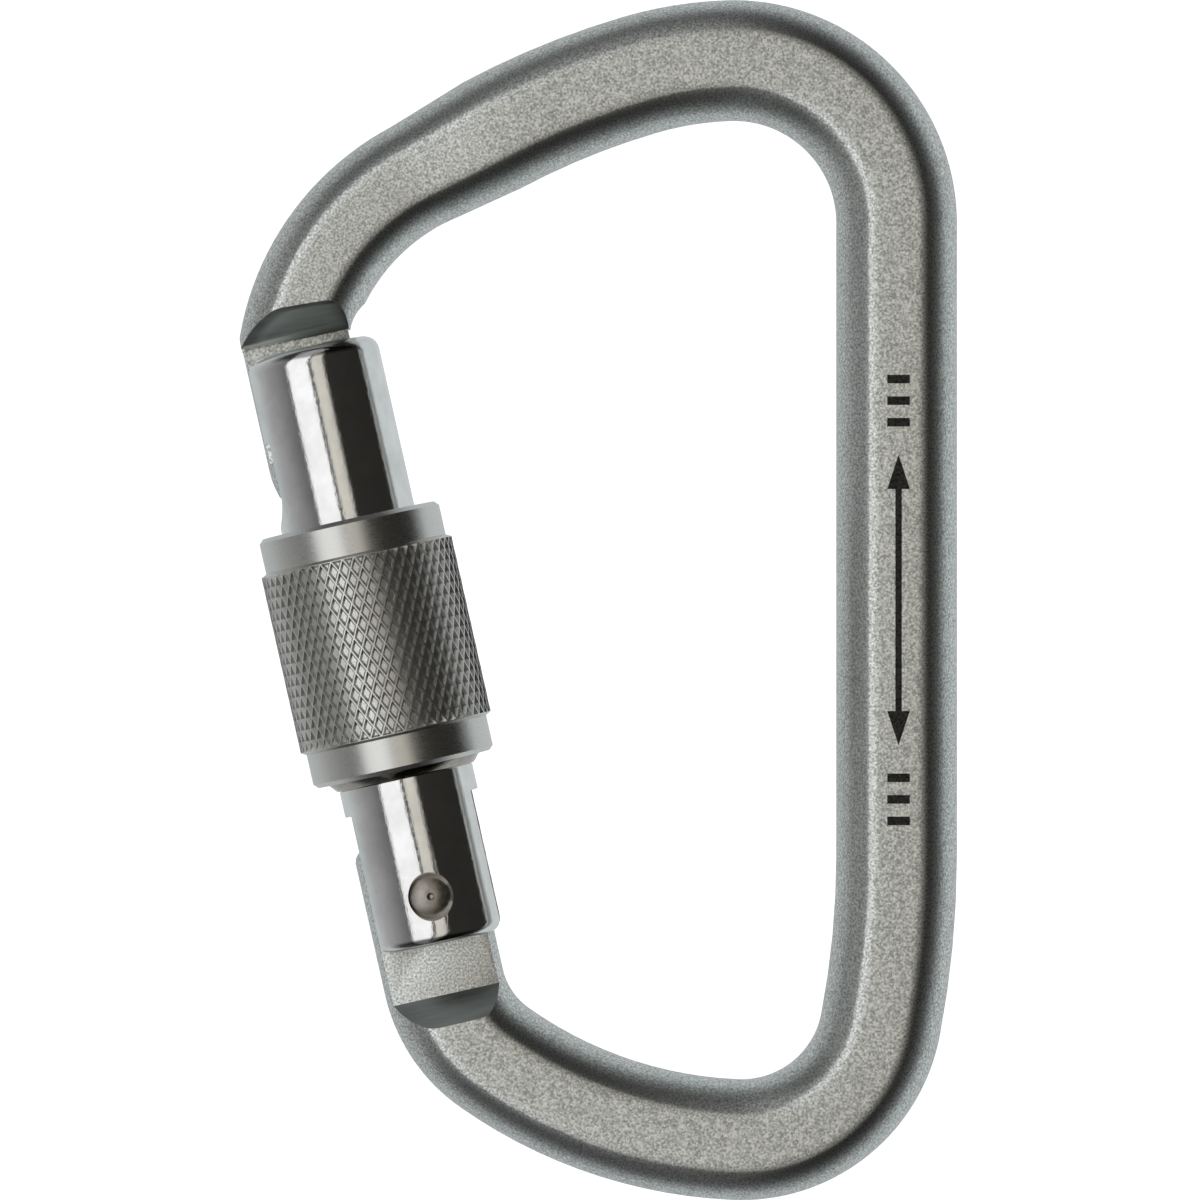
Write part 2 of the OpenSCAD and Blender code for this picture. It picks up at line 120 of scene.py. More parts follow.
def pick(piece, kind, rule):
    """Selects, in edit mode, the vertices (VERT), edges (EDGE) or faces (FACE) that pass a rule."""
    bpy.ops.object.mode_set(mode="EDIT")
    bpy.ops.mesh.select_mode(type=kind)
    bpy.ops.mesh.select_all(action="DESELECT")
    bpy.ops.object.mode_set(mode="OBJECT")
    mesh = piece.data
    if kind == "VERT":
        for vertex in mesh.vertices:
            vertex.select = rule(vertex.co)
    elif kind == "EDGE":
        for edge in mesh.edges:
            edge.select = rule(*(mesh.vertices[i].co for i in edge.vertices))
    else:
        for face in mesh.polygons:
            face.select = rule(face)
    bpy.ops.object.mode_set(mode="EDIT")


def face_outwards(piece):
    """Merges doubles and turns every face outwards."""
    bpy.ops.object.mode_set(mode="EDIT")
    bpy.ops.mesh.select_all(action="SELECT")
    bpy.ops.mesh.remove_doubles(threshold=0.001)
    bpy.ops.mesh.normals_make_consistent(inside=False)
    bpy.ops.object.mode_set(mode="OBJECT")


# %% Turn, cut out, machine and hang pieces
def turned(name, profile, sides=96):
    """A turned solid: a disc at the first (radius, height), extruded and resized to each next."""
    start_clean()
    radius, height = profile[0]
    bpy.ops.mesh.primitive_circle_add(vertices=sides, radius=radius, fill_type="NOTHING",
                                      location=(0, 0, height))
    piece = named(name)
    hollow = profile[0] == profile[-1]
    bpy.ops.object.mode_set(mode="EDIT")
    bpy.ops.mesh.select_all(action="SELECT")
    if not hollow:
        bpy.ops.mesh.edge_face_add()
    for next_radius, next_height in profile[1:]:
        step = (0, 0, next_height - height)
        bpy.ops.mesh.extrude_region_move(TRANSFORM_OT_translate={"value": step})
        grow = next_radius / radius
        bpy.ops.transform.resize(value=(grow, grow, 1), center_override=(0, 0, next_height))
        radius, height = next_radius, next_height
    face_outwards(piece)
    return piece


def soften(piece, radius, height, width, segments=4):
    """Rounds the circular edge of a turned piece at that radius and height."""
    def on_circle(*ends):
        return all(abs(math.hypot(p.x, p.y) - radius) < hair and abs(p.z - height) < hair
                   for p in ends)
    pick(piece, "EDGE", on_circle)
    bpy.ops.mesh.bevel(offset=width, segments=segments, affect="EDGES")
    bpy.ops.object.mode_set(mode="OBJECT")


def plate(name, outline, thickness, across="Y"):
    """A flat plate: its outline is drawn vertex by vertex, filled, and extruded to a thickness.

    The outline is (x, z) and the thickness along Y, or (y, z) and along X."""
    def place(point, depth):
        return (point[0], depth, point[1]) if across == "Y" else (depth, point[0], point[1])
    start_clean()
    bpy.ops.mesh.primitive_plane_add(size=1, location=place(outline[0], -thickness / 2))
    piece = named(name)
    bpy.ops.object.mode_set(mode="EDIT")
    bpy.ops.mesh.select_all(action="SELECT")
    bpy.ops.mesh.merge(type="CENTER")
    for before, after in zip(outline, outline[1:]):
        step = Vector(place(after, 0)) - Vector(place(before, 0))
        bpy.ops.mesh.extrude_vertices_move(TRANSFORM_OT_translate={"value": step})
    bpy.ops.mesh.select_all(action="SELECT")
    bpy.ops.mesh.edge_face_add()
    bpy.ops.mesh.extrude_region_move(
        TRANSFORM_OT_translate={"value": place((0, 0), thickness)})
    face_outwards(piece)
    return piece


def rod(name, radius, length, along, place=(0, 0, 0), sides=48):
    """A plain round bar along X, Y or Z, for drilling and milling."""
    start_clean()
    turn = {"X": (0, math.pi / 2, 0), "Y": (math.pi / 2, 0, 0), "Z": (0, 0, 0)}[along]
    bpy.ops.mesh.primitive_cylinder_add(vertices=sides, radius=radius, depth=length,
                                        location=place, rotation=turn)
    return named(name)


def machine(piece, tool, action="DIFFERENCE"):
    """Cuts a tool out of a piece, or joins or intersects it, and throws the tool away."""
    start_clean()
    bpy.context.view_layer.objects.active = piece
    piece.select_set(True)
    step = piece.modifiers.new("machine", "BOOLEAN")
    step.object = tool
    step.operation = action
    step.solver = "EXACT"
    step.material_mode = "TRANSFER"
    bpy.ops.object.modifier_apply(modifier=step.name)
    bpy.data.objects.remove(tool)


def break_edges(piece, width, segments=2, degrees=38):
    """Bevels the machined edges, as far as the clamp on overlapping bevels lets it."""
    start_clean()
    bpy.context.view_layer.objects.active = piece
    piece.select_set(True)
    step = piece.modifiers.new("broken edges", "BEVEL")
    step.width = width
    step.segments = segments
    step.limit_method = "ANGLE"
    step.angle_limit = math.radians(degrees)
    step.use_clamp_overlap = True
    bpy.ops.object.modifier_apply(modifier=step.name)


def hang(piece):
    """Moves a piece modelled upright about the rivet to its place on the leaning gate."""
    start_clean()
    bpy.context.view_layer.objects.active = piece
    piece.select_set(True)
    piece.location = rivet_place
    piece.rotation_euler = (0, gate_tilt, 0)
    bpy.ops.object.transform_apply(location=True, rotation=True, scale=True)
    return piece


def smooth(piece, degrees=30):
    """Smooth shading, with a crease wherever the surface turns by more than the angle."""
    start_clean()
    bpy.context.view_layer.objects.active = piece
    piece.select_set(True)
    bpy.ops.object.shade_smooth_by_angle(angle=math.radians(degrees))


def tell(piece):
    """Prints a piece's size and faces."""
    xs, ys, zs = zip(*(v.co for v in piece.data.vertices))
    size = [round(max(n) - min(n), 2) for n in (xs, ys, zs)]
    print(piece.name, "is", size, "mm with", len(piece.data.polygons), "faces")


# %% [markdown]
# ## Finishes of steel
# The bar is forged, blasted with fine beads and plated, so it glitters in tiny grains; the
# shoulders are milled after that and look darker and smoother; the gate tube is polished; the
# sleeve is turned to a satin and knurled. All are metals, so colour and roughness carry
# everything. Noise on Object coordinates gives grain at its true size.

# %% Material helpers
def steel(name, colour, roughness, anisotropy=0.0):
    """A metal with its plain colour and roughness, and the shader's output ready to link."""
    material = bpy.data.materials.new(name)
    material.use_nodes = True
    shader = material.node_tree.nodes["Principled BSDF"]
    shader.inputs["Base Color"].default_value = (*colour, 1)
    shader.inputs["Metallic"].default_value = 1
    shader.inputs["Roughness"].default_value = roughness
    shader.inputs["Anisotropic"].default_value = anisotropy
    return material, shader


def grain(material, size, detail=3.0, stretch=(1, 1, 1), tilted=False):
    """Noise whose grains are that many millimetres across, on the piece's own place in the frame."""
    nodes, links = material.node_tree.nodes, material.node_tree.links
    place = nodes.new("ShaderNodeTexCoord")
    aim = nodes.new("ShaderNodeMapping")
    aim.vector_type = "POINT"
    if tilted:
        aim.inputs["Rotation"].default_value = (0, -gate_tilt, 0)
    spread = nodes.new("ShaderNodeMapping")
    spread.inputs["Scale"].default_value = stretch
    noise = nodes.new("ShaderNodeTexNoise")
    noise.inputs["Scale"].default_value = metre / size
    noise.inputs["Detail"].default_value = detail
    noise.inputs["Roughness"].default_value = 0.6
    links.new(place.outputs["Object"], aim.inputs["Vector"])
    links.new(aim.outputs["Vector"], spread.inputs["Vector"])
    links.new(spread.outputs["Vector"], noise.inputs["Vector"])
    return noise.outputs["Fac"]


def between(material, amount, low, high, dark, light):
    """A colour that runs from dark to light as the amount runs from low to high."""
    ramp = material.node_tree.nodes.new("ShaderNodeValToRGB")
    ramp.color_ramp.elements[0].position = low
    ramp.color_ramp.elements[0].color = (*dark, 1)
    ramp.color_ramp.elements[1].position = high
    ramp.color_ramp.elements[1].color = (*light, 1)
    material.node_tree.links.new(amount, ramp.inputs["Fac"])
    return ramp.outputs["Color"]


def level(material, amount, low, high, least, most):
    """A number that runs from least to most as the amount runs from low to high."""
    scale = material.node_tree.nodes.new("ShaderNodeMapRange")
    scale.inputs["From Min"].default_value = low
    scale.inputs["From Max"].default_value = high
    scale.inputs["To Min"].default_value = least
    scale.inputs["To Max"].default_value = most
    material.node_tree.links.new(amount, scale.inputs["Value"])
    return scale.outputs["Result"]


def dented(material, shader, height, depth, strength=1.0):
    """Bumps of that depth in millimetres, pressed into the surface by a height."""
    bump = material.node_tree.nodes.new("ShaderNodeBump")
    bump.inputs["Distance"].default_value = depth / metre
    bump.inputs["Strength"].default_value = strength
    material.node_tree.links.new(height, bump.inputs["Height"])
    material.node_tree.links.new(bump.outputs["Normal"], shader.inputs["Normal"])


# %% The finishes
def blasted_steel():
    material, shader = steel("blasted_steel", (0.6, 0.61, 0.58), 0.38)
    link = material.node_tree.links.new
    speckle = grain(material, 0.2, 2.0)
    colour = between(material, speckle, 0.34, 0.66, (0.35, 0.365, 0.35), (0.87, 0.89, 0.87))
    link(colour, shader.inputs["Base Color"])
    link(level(material, speckle, 0.3, 0.7, 0.44, 0.3), shader.inputs["Roughness"])
    dented(material, shader, grain(material, 0.16, 2.0), 0.015)
    return material


def milled_steel():
    material, shader = steel("milled_steel", (0.36, 0.39, 0.38), 0.34)
    link = material.node_tree.links.new
    streak = grain(material, 0.4, 4.0, (0.1, 1, 1), tilted=True)
    link(between(material, streak, 0.3, 0.7, (0.31, 0.345, 0.335), (0.42, 0.455, 0.44)),
         shader.inputs["Base Color"])
    link(level(material, streak, 0.3, 0.7, 0.3, 0.4), shader.inputs["Roughness"])
    dented(material, shader, streak, 0.002)
    return material


def polished_steel():
    material, shader = steel("polished_steel", (0.74, 0.75, 0.745), 0.08)
    link = material.node_tree.links.new
    rub = grain(material, 0.22, 3.0, (1, 1, 0.4), tilted=True)
    haze = grain(material, 3, 3.0)
    link(between(material, haze, 0.35, 0.7, (0.7, 0.71, 0.7), (0.82, 0.825, 0.82)),
         shader.inputs["Base Color"])
    link(level(material, rub, 0.3, 0.75, 0.05, 0.13), shader.inputs["Roughness"])
    dented(material, shader, rub, 0.007)
    return material


def satin_steel():
    material, shader = steel("satin_steel", (0.66, 0.66, 0.64), 0.3)
    link = material.node_tree.links.new
    turning = grain(material, 0.08, 2.0, (0.15, 0.15, 1), tilted=True)
    link(between(material, turning, 0.3, 0.7, (0.62, 0.62, 0.6), (0.7, 0.7, 0.68)),
         shader.inputs["Base Color"])
    link(level(material, turning, 0.3, 0.7, 0.26, 0.34), shader.inputs["Roughness"])
    dented(material, shader, turning, 0.0003)
    return material


def knurled_steel():
    material, shader = steel("knurled_steel", (0.56, 0.56, 0.54), 0.36)
    link = material.node_tree.links.new
    fleck = grain(material, 0.1, 2.0)
    link(between(material, fleck, 0.3, 0.7, (0.56, 0.56, 0.54), (0.78, 0.78, 0.76)),
         shader.inputs["Base Color"])
    link(level(material, fleck, 0.3, 0.7, 0.42, 0.28), shader.inputs["Roughness"])
    return material


def dark_steel(name, roughness):
    material, shader = steel(name, (0.38, 0.355, 0.32), roughness)
    link = material.node_tree.links.new
    bloom = grain(material, 0.5, 4.0)
    link(between(material, bloom, 0.3, 0.7, (0.3, 0.275, 0.24), (0.46, 0.43, 0.39)),
         shader.inputs["Base Color"])
    link(level(material, bloom, 0.3, 0.7, roughness - 0.04, roughness + 0.06),
         shader.inputs["Roughness"])
    dented(material, shader, bloom, 0.0015)
    return material


def spring_wire():
    material, shader = steel("spring_wire", (0.5, 0.5, 0.48), 0.25)
    link = material.node_tree.links.new
    scale_marks = grain(material, 0.2, 3.0, (1, 1, 0.3), tilted=True)
    link(between(material, scale_marks, 0.3, 0.7, (0.38, 0.38, 0.36), (0.58, 0.58, 0.56)),
         shader.inputs["Base Color"])
    link(level(material, scale_marks, 0.3, 0.7, 0.2, 0.32), shader.inputs["Roughness"])
    return material


def etched_steel():
    material, shader = steel("etched_steel", (0.05, 0.048, 0.045), 0.6)
    link = material.node_tree.links.new
    burn = grain(material, 0.2, 2.0)
    link(between(material, burn, 0.35, 0.7, (0.02, 0.02, 0.02), (0.09, 0.088, 0.08)),
         shader.inputs["Base Color"])
    link(level(material, burn, 0.3, 0.7, 0.5, 0.7), shader.inputs["Roughness"])
    return material


blasted, milled, polished, satin = blasted_steel(), milled_steel(), polished_steel(), satin_steel()
knurled, wire, etched = knurled_steel(), spring_wire(), etched_steel()
dark = dark_steel("dark_steel", 0.34)
oiled = dark_steel("oiled_steel", 0.12)


def dress(piece, *materials):
    """Gives a piece its materials, the first for all of its faces."""
    piece.data.materials.clear()
    for material in materials:
        piece.data.materials.append(material)


print("finishes:", [m.name for m in bpy.data.materials if m.node_tree])

# %% [markdown]
# ## The bent bar
# The real bar is a round rod, bent around formers and then pressed between flat dies, which
# leaves a flat front and back with soft corners. Sweeping a curve would also work, but a ring
# spun about each former's own centre keeps every bend exactly as round as its former. The
# ring starts where the spine meets the wide end and is spun both ways from there.

# %% Start the section as a disc, press its flats and soften their corners
bar_r = 5.65
flat_corner = 0.7
bar_box = [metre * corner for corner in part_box("frame")]
flat_y = bar_box[1].y
wide_r = 15.2
spine_top = Vector((bar_box[1].x - bar_r, 0, bar_box[1].z - bar_r - wide_r))
start_clean()
bpy.ops.mesh.primitive_circle_add(vertices=72, radius=bar_r, fill_type="NGON",
                                  location=spine_top)
bar = named("bar")
bpy.ops.object.mode_set(mode="EDIT")
for side in (-1, 1):
    bpy.ops.mesh.select_all(action="SELECT")
    bpy.ops.mesh.bisect(plane_co=(0, side * flat_y, 0), plane_no=(0, side, 0),
                        clear_outer=True)
pick(bar, "VERT", lambda place: abs(abs(place.y) - flat_y) < hair)
bpy.ops.mesh.bevel(offset=flat_corner, segments=5, affect="VERTICES")
bpy.ops.mesh.select_all(action="SELECT")
bpy.ops.mesh.delete(type="ONLY_FACE")
print("section has", len(bar.data.vertices), "points")


# %% Bend and draw it from there
bend_step = 2.5  # degrees


def inboard(heading):
    return Vector((math.sin(heading), 0, -math.cos(heading)))


def along(heading):
    return Vector((math.cos(heading), 0, math.sin(heading)))


def bend(state, radius, degrees, sense):
    """Spins the selected ring round a former: sense 1 goes on down the bar, -1 back up it."""
    place, heading = state
    former = place + radius * inboard(heading)
    turn = math.radians(degrees)
    steps = max(3, round(degrees / bend_step))
    bpy.ops.mesh.spin(steps=steps, angle=-sense * turn, center=former, axis=(0, 1, 0))
    heading -= sense * turn
    return former - radius * inboard(heading), heading


def draw(state, length, sense, scale=1.0):
    """Pulls the selected ring straight on, and draws the bar thinner if the scale says so."""
    place, heading = state
    step = sense * length * along(heading)
    bpy.ops.mesh.extrude_region_move(TRANSFORM_OT_translate={"value": step})
    place = place + step
    bpy.ops.transform.resize(value=(scale, scale, scale), center_override=place)
    return place, heading


wide_end_bends = [(wide_r, 91.9), (33.4, 14.5), (73, 11.7)]
narrow_end_bends = [(84, 10.9), (13.2, 81.4), (42, 33), (11.8, 42.08)]
spine_len = 59
draw_len = 8
draw_steps = 8
nose_r = 22.2
nose_turn = 61.9
nose_bar_d = 10.3
nose_draw = nose_bar_d / (2 * bar_r)
tang_len = 8.2
tang_top = 5.6
tang_spare = 1

bpy.ops.mesh.select_all(action="SELECT")
state = (spine_top, math.radians(-90))
for radius, degrees in wide_end_bends:
    state = bend(state, radius, degrees, -1)
for step in range(draw_steps):
    state = draw(state, draw_len / draw_steps, -1, nose_draw ** (1 / draw_steps))
state = bend(state, nose_r, nose_turn, -1)
bpy.ops.mesh.edge_face_add()
print("blank end at", [round(n, 2) for n in state[0]])

pick(bar, "VERT", lambda place: (place - spine_top).length < 1.1 * bar_r
     and abs(place.z - spine_top.z) < hair)
state = draw((spine_top, math.radians(-90)), spine_len, 1)
for radius, degrees in narrow_end_bends:
    state = bend(state, radius, degrees, 1)
state = draw(state, tang_len + tang_top + tang_spare, 1)
bpy.ops.mesh.edge_face_add()
face_outwards(bar)
dress(bar, blasted, milled)
tell(bar)

# %% [markdown]
# ## Milling the nose and the tang
# A cutter leaves a thin tongue with a T-head at the nose, which the gate drops over, and a
# flat tang at the hinge. Both end in slanting shoulders. Here too they are cut by tools of
# the cutters' own shape, and the tools wear the milled finish, so the faces that they leave
# take it over.

# %% Nose: cut the blank end off, mill the shoulders, add the T-head
tube_r = 6.35
nose_gap = 0.9
nose_cut = 3.9
shoulder = tube_top + nose_gap
shoulder_tilt = math.radians(3)
shoulder_slope = 1.12
tongue_t = 3.8
tongue_inset = 0.15
tongue_r = tube_r - tongue_inset
tongue_reach = 1.2
nose_reach = 3.85
nose_rest = 0.15
relief_r = 3.5
neck_len = 10.7
head_len = 3.3
head_play = 1.9
head_w = 5.8
head_top = shoulder - neck_len
head_bottom = head_top - head_len
foot_r = 9
foot_h = 3
wide_cut = 24
blank_inner = 1.4 * bar_r
blank_floor = shoulder - nose_cut - 2 * bar_r
blank_above = shoulder + 7
nose_tool_back = 1.5


def shoulder_tool(name, thickness, height, side, direction, reach_back, tilt=0.0):
    """A milling tool that leaves half a flat thickness and a slanting shoulder.

    Its slanting face wears the milled finish, and the rest the blasted one."""
    half = thickness / 2
    run = bar_r - half + 1
    rise = run * shoulder_slope
    tool = plate(name, [
        (side * half, -direction * reach_back),
        (side * half, 0),
        (side * (half + run), direction * rise),
        (side * wide_cut, direction * rise),
        (side * wide_cut, -direction * reach_back),
    ], 2 * wide_cut, across="X")
    dress(tool, blasted, milled)
    for face in tool.data.polygons:
        face.material_index = int(abs(face.normal.y) > 0.3 and abs(face.normal.z) > 0.3)
    tool.location = (0, 0, height)
    tool.rotation_euler = (0, tilt, 0)
    bpy.ops.object.transform_apply(location=True, rotation=True)
    return hang(tool)


blank_tool = plate("blank_tool", [
    (blank_inner, shoulder),
    (blank_inner, blank_floor),
    (-wide_cut, blank_floor),
    (-wide_cut, blank_above),
    (-tongue_r, blank_above),
    (-tongue_r, shoulder),
], 2 * wide_cut)
relief = rod("relief", relief_r, 4 * bar_r, "Y",
             (nose_reach + relief_r, 0, shoulder - relief_r / 3), 96)
for tool in (blank_tool, relief):
    dress(tool, blasted)
    machine(bar, hang(tool))
for side in (-1, 1):
    machine(bar, shoulder_tool("nose_tool", tongue_t, shoulder, side, 1, nose_tool_back,
                               shoulder_tilt))

foot_turn = math.asin(foot_h / foot_r)
foot = [(foot_r * (1 - math.cos(a)) - tongue_r, head_bottom + foot_h - foot_r * math.sin(a))
        for a in (foot_turn * k / 8 for k in range(8, -1, -1))]
tongue_line = tube_top + nose_rest
tongue = plate("tongue", [
    *foot, (-2 * bar_r, head_bottom + foot_h), (-2 * bar_r, shoulder + 1),
    (nose_reach, shoulder + 1), (nose_reach, tongue_line), (tongue_reach, tongue_line),
    (tongue_reach, head_bottom),
], tongue_t)
head = plate("t_head", [
    *foot, (-2 * bar_r, head_bottom + foot_h), (-2 * bar_r, head_top),
    (tongue_reach, head_top), (tongue_reach, head_bottom),
], head_w)
machine(tongue, head, "UNION")
machine(tongue, rod("tongue_round", tongue_r, 80, "Z", (0, 0, 40), 96), "INTERSECT")
dress(tongue, blasted)
machine(bar, hang(tongue), "UNION")
tell(bar)

# %% Tang: round its end, shape the cam, mill the shoulders, drill it for the rivet
tang_t = 5.2
tang_shift = 0.7
corner_r = 1.5
bore_r = 2.6
rivet_r = 2.1
hinge_gap = 0.05
cam_height = 5.2
cam_rate = 2.2
cam_drop = 1.9
land_margin = 0.6
tang_tool_height = -tang_len - 1.1
tang_tool_back = 22.6
gate_open = math.radians(joints["gate_swing"]["range_deg"][1])


def cam_point(angle):
    """Point of the involute cam face: it lifts the plunger by the same amount for each degree."""
    lift = cam_height + cam_rate * angle
    return (lift * math.sin(angle) + cam_rate * math.cos(angle),
            lift * math.cos(angle) - cam_rate * math.sin(angle))


tang_outer = -tang_shift - bar_r
tang_inner = -tang_shift + bar_r
land = -bore_r - land_margin
corner = [(tang_outer + corner_r * (1 - math.cos(a)), tang_top - corner_r * (1 - math.sin(a)))
          for a in (math.pi / 2 * k / 8 for k in range(9))]
cam_end = gate_open + math.radians(2)
cam = [cam_point(cam_end * k / 12) for k in range(13)]
waste = plate("tang_waste", [
    (tang_outer - 2, tang_top - corner_r), *corner, (land, tang_top), (land, cam_height),
    *cam, (tang_inner + 1, cam[-1][1] - cam_drop), (wide_cut, cam[-1][1] - cam_drop),
    (wide_cut, wide_cut), (tang_outer - 2, wide_cut),
], 2 * wide_cut)
dress(waste, blasted)
machine(bar, hang(waste))
for side in (-1, 1):
    machine(bar, shoulder_tool("tang_tool", tang_t, tang_tool_height, side, -1,
                               tang_tool_back))
drill = rod("rivet_drill", rivet_r + hinge_gap, 4 * bar_r, "Y")
dress(drill, milled)
machine(bar, hang(drill))
tell(bar)

# %% [markdown]
# ## The gate tube
# The gate is a stepped bar turned on a lathe, threaded, bored from the hinge end and slotted
# at both ends. A disc extruded and resized ring by ring follows the lathe, its end edges are
# rounded with a bevel, and the bore and slots are machined as on the real one.

# %% Threads and coils share one helper
def coil(name, turns, rise, first_turn, round_wire=None, ridge=None, steps=36):
    """A wire or a thread ridge wound about the axis from a height, both ends closed.

    round_wire is (wire radius, coil radius); ridge is (inner radius, outer radius, inner
    width, outer width)."""
    start_clean()
    if round_wire:
        wire_r, coil_r = round_wire
        bpy.ops.mesh.primitive_circle_add(vertices=12, radius=wire_r, fill_type="NOTHING",
                                          location=(coil_r, 0, first_turn),
                                          rotation=(math.pi / 2, 0, 0))
        piece = named(name)
    else:
        inner, outer, inner_w, outer_w = ridge
        bpy.ops.mesh.primitive_plane_add(size=1, location=((inner + outer) / 2, 0, first_turn),
                                         rotation=(math.pi / 2, 0, 0))
        piece = named(name)
        middle = (inner + outer) / 2
        for radius, width, rule in ((inner, inner_w, lambda place: place.x < middle),
                                    (outer, outer_w, lambda place: place.x > middle)):
            pick(piece, "VERT", rule)
            bpy.ops.transform.resize(value=(0, 1, width), center_override=(radius, 0, first_turn))
        bpy.ops.mesh.select_all(action="SELECT")
        bpy.ops.mesh.delete(type="ONLY_FACE")
        bpy.ops.object.mode_set(mode="OBJECT")
    winding = piece.modifiers.new("winding", "SCREW")
    winding.angle = math.tau * turns
    winding.screw_offset = rise
    winding.steps = round(steps * turns)
    winding.render_steps = winding.steps
    winding.use_smooth_shade = True
    bpy.ops.object.modifier_apply(modifier=winding.name)
    bpy.ops.object.mode_set(mode="EDIT")
    bpy.ops.mesh.select_mode(type="VERT")
    bpy.ops.mesh.select_all(action="DESELECT")
    bpy.ops.mesh.select_non_manifold()
    bpy.ops.mesh.fill_holes(sides=0)
    face_outwards(piece)
    return piece


def to_metres(piece):
    """Scales a finished piece from the millimetre bench into the frame."""
    start_clean()
    bpy.context.view_layer.objects.active = piece
    piece.select_set(True)
    bpy.ops.object.origin_set(type="ORIGIN_CURSOR")
    piece.scale = (1 / metre,) * 3
    bpy.ops.object.transform_apply(location=True, rotation=True, scale=True)


# %% Turn the tube and cut its thread
track_r = 6
tail_round = 1.0
top_round = 1.4
band_top = 11.15
pitch = 2.5
thread_h = 0.7
thread_gap = 0.2
root_r = thread_r - thread_h
thread_len = 6
thread_root_in = 0.3
thread_top = sleeve_top - 0.5
thread_bottom = thread_top - thread_len
crest_w = 0.26 * pitch
ridge_root_w = pitch / 2 - thread_gap
gate_tube = turned("tube", [
    (tube_r, tube_tail), (tube_r, band_top), (track_r, band_top), (track_r, thread_bottom),
    (root_r, thread_bottom), (root_r, thread_top), (tube_r, thread_top), (tube_r, tube_top),
])
soften(gate_tube, tube_r, tube_tail, tail_round, 6)
soften(gate_tube, tube_r, tube_top, top_round, 8)
thread_turns = (thread_top - thread_bottom - 2 * ridge_root_w) / pitch
thread = coil("thread", thread_turns, thread_turns * pitch, thread_bottom + ridge_root_w,
              ridge=(root_r - thread_root_in, thread_r, ridge_root_w + thread_root_in,
                     crest_w))
machine(gate_tube, thread, "UNION")

# %% Bore it, slot it for tang and tongue, drill it for the rivet
slot_gap = 0.2
bore_depth = 30.5
slot_top = 8.75
tube_break = 0.12
machine(gate_tube, rod("bore", bore_r, bore_depth - tube_tail + 1, "Z",
                       (0, 0, (bore_depth + tube_tail - 1) / 2)))


def slot_tool(name, left, right, low, high, width):
    """A milling tool with a rectangular path through the tube's wall."""
    return plate(name, [(left, low), (right, low), (right, high), (left, high)], width)


slot_floor = tongue_reach + 1.5 * slot_gap
foot_rise = 0.3
machine(gate_tube, slot_tool("tang_slot", -wide_cut, wide_cut, tube_tail - 1, slot_top,
                             tang_t + 2 * slot_gap))
machine(gate_tube, slot_tool("neck_slot", -wide_cut, slot_floor, head_bottom, tube_top + 1,
                             tongue_t + 2 * slot_gap))
head_slot = slot_tool("head_slot", -wide_cut, slot_floor, head_bottom + foot_rise,
                      head_top + head_play, head_w + 2 * slot_gap)
foot_slot = rod("foot_slot", head_w / 2 + slot_gap, wide_cut + slot_floor, "X",
                ((slot_floor - wide_cut) / 2, 0, head_bottom + foot_rise), 64)
machine(gate_tube, head_slot)
machine(gate_tube, foot_slot)
sink = [(rivet_r + 0.5, tube_r + 0.6), (rivet_r + 0.12, tube_r - 0.1), (rivet_r, tube_r - 0.3)]
rivet_hole = turned("rivet_hole",
                    [(r, -h) for r, h in sink] + [(r, h) for r, h in reversed(sink)], 64)
rivet_hole.rotation_euler = (math.pi / 2, 0, 0)
machine(gate_tube, rivet_hole)
break_edges(gate_tube, tube_break)
dress(gate_tube, polished)
tell(hang(gate_tube))

# %% [markdown]
# ## The knurled sleeve
# The sleeve is turned, then two wheels roll crossing grooves into it, which leaves rows of
# small pits. A bump texture would fake them, but their sparkle and their toothed outline
# need geometry. The band is a grid of quads; poking each quad and dissolving the grid leaves
# diamonds, and two individual insets sink each diamond into a pit between crossing ribs.

# %% Turn the sleeve with a band of plain rows
rim_r = 8.6
rim_h = 3.25
rim_edge = 0.4
rib_half = 0.06
pit_slope = 0.17
pit_depth = 0.3
band_r = knurl_r
knurl_starts = 52
knurl_rows = 8
sleeve_bore_r = thread_r + thread_gap
ring_groove = (0.65, 1.55)
groove_depth = 0.35
band_inset = 0.25
band_low = sleeve_base + rim_h + band_inset
band_high = sleeve_top - rim_h - band_inset
rows = [(band_r, band_low + (band_high - band_low) * k / knurl_rows)
        for k in range(knurl_rows + 1)]
sleeve = turned("sleeve", [
    (sleeve_bore_r, sleeve_base), (rim_r - rim_edge, sleeve_base),
    (rim_r, sleeve_base + rim_edge), (rim_r, sleeve_base + rim_h), *rows,
    (rim_r, sleeve_top - rim_h), (rim_r, sleeve_top - rim_edge),
    (rim_r - rim_edge, sleeve_top), (sleeve_bore_r, sleeve_top),
    (sleeve_bore_r, sleeve_base + ring_groove[1]),
    (sleeve_bore_r + groove_depth, sleeve_base + ring_groove[1]),
    (sleeve_bore_r + groove_depth, sleeve_base + ring_groove[0]),
    (sleeve_bore_r, sleeve_base + ring_groove[0]), (sleeve_bore_r, sleeve_base),
], knurl_starts)

# %% Roll the knurl into the band
on_band = band_r - hair


def in_band(face):
    return (math.hypot(face.center.x, face.center.y) > 0.99 * band_r
            and band_low < face.center.z < band_high)


def grid_edge(a, b):
    """An edge of the plain rows inside the band: both its ends lie on the full radius."""
    round_enough = all(math.hypot(p.x, p.y) > on_band for p in (a, b))
    middle = (a.z + b.z) / 2
    return round_enough and band_low + hair < middle < band_high - hair


